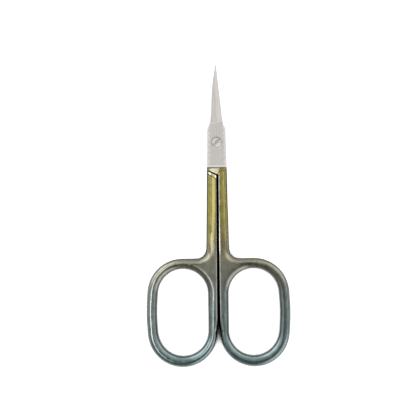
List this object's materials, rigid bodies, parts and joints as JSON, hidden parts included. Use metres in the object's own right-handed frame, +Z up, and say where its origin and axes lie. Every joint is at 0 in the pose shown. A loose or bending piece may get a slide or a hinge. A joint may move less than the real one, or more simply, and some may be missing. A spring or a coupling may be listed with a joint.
{
  "type": "eyebrow scissors",
  "caption": "Small pointed grooming scissors: bare ground blades, coated shanks and long oval finger bows, joined by a slotted pivot screw.",
  "frame": {"origin": "under the middle of the closed scissors' outline, on the plane that they lie on", "axes": "+Y along the closed scissors, from the bows to the tip; +Z up out of the face that shows the screw head; +X towards the front half's bow"},
  "size_m": [0.0452, 0.0948, 0.003],
  "materials": {
    "coated_steel": "satin",
    "bare_steel": "satin"
  },
  "bodies": {
    "rear": {"rear_half": "coated_steel", "pivot_screw": "bare_steel"},
    "front": {"front_half": "coated_steel"}
  },
  "joints": [
    {"name": "pivot", "type": "hinge", "parent": "rear", "child": "front", "pos_m": [0, 0.02295, 0.0015], "axis": [0, 0, 1], "range_deg": [0, 60]}
  ]
}
